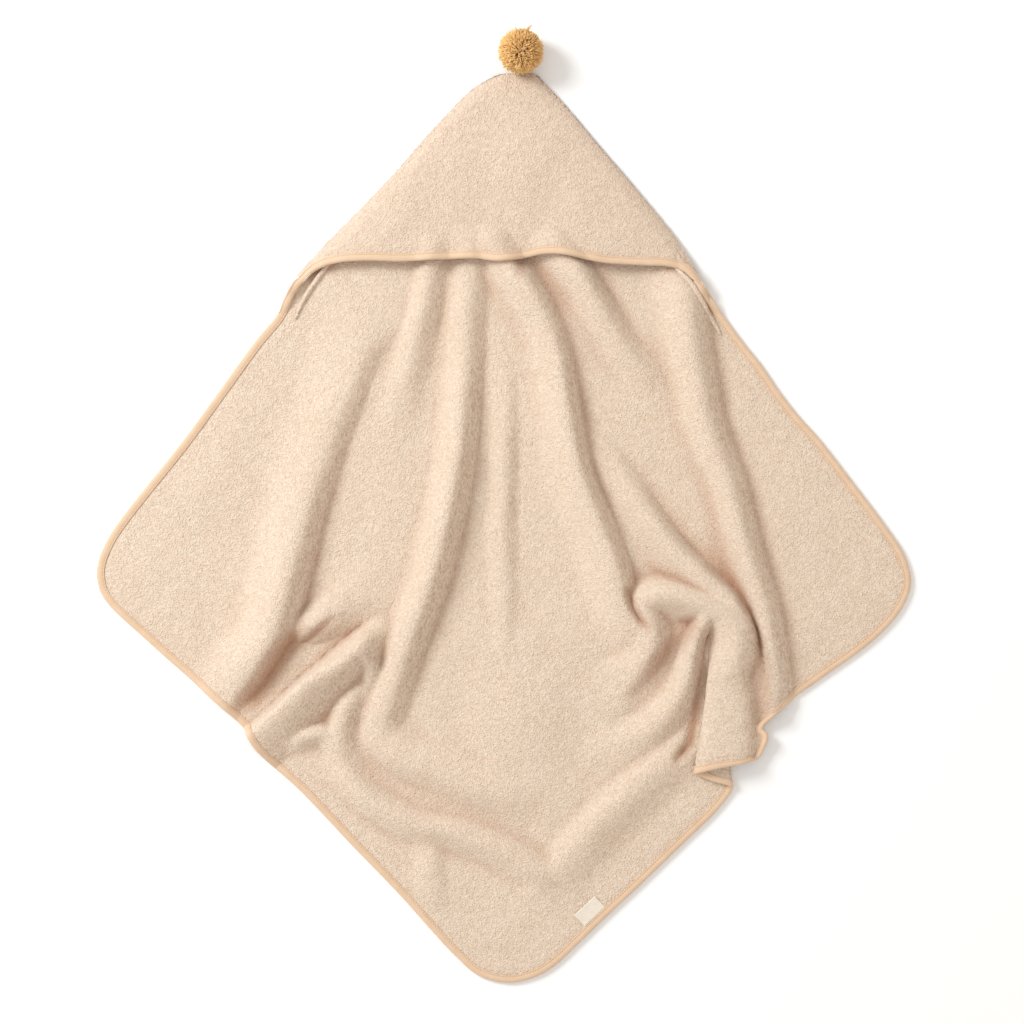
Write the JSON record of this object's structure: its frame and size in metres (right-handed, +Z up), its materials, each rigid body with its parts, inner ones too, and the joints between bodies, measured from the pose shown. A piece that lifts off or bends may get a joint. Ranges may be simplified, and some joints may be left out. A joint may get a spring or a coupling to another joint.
{
  "type": "hooded baby towel",
  "caption": "Square terry towel laid flat with soft folds, a hood over one corner, taped edges, a yarn pompom on the tip and a small edge label.",
  "frame": {"origin": "on the floor plane, under the middle of the laid-out towel's box", "axes": "+Y towards the tip of the hood, +X to the right seen from above with the hood at the top, +Z up from the floor"},
  "size_m": [0.8939, 1.0475, 0.0458],
  "materials": {
    "terry": "matte",
    "edge_tape": "matte",
    "yarn": "matte",
    "thread": "matte",
    "label": "matte"
  },
  "bodies": {
    "towel": {"body_panel": "terry", "hood_panel": "terry", "edge_binding": "edge_tape", "hood_front_binding": "edge_tape", "hood_seam_allowance_left": "terry", "hood_seam_allowance_right": "terry"},
    "pompom_tie": {"pompom_tie_knot": "thread"},
    "pompom": {"pompom_ball": "yarn", "pompom_core_thread": "thread", "pompom_tuft": "yarn"},
    "label": {"label_tab": "label"}
  },
  "joints": [
    {"name": "pompom_turn", "type": "hinge", "parent": "towel", "child": "pompom_tie", "pos_m": [0.019, 0.4802, 0.0072], "axis": [0, 0, 1], "range_deg": [-38, 38]},
    {"name": "pompom_flop", "type": "hinge", "parent": "pompom_tie", "child": "pompom", "pos_m": [0.019, 0.4802, 0.0072], "axis": [1, 0, 0], "range_deg": [0, 60]},
    {"name": "label_flip", "type": "hinge", "parent": "towel", "child": "label", "pos_m": [0.09996, -0.44854, 0.0055], "axis": [0.7331, 0.6801, 0], "range_deg": [0, 165]}
  ]
}
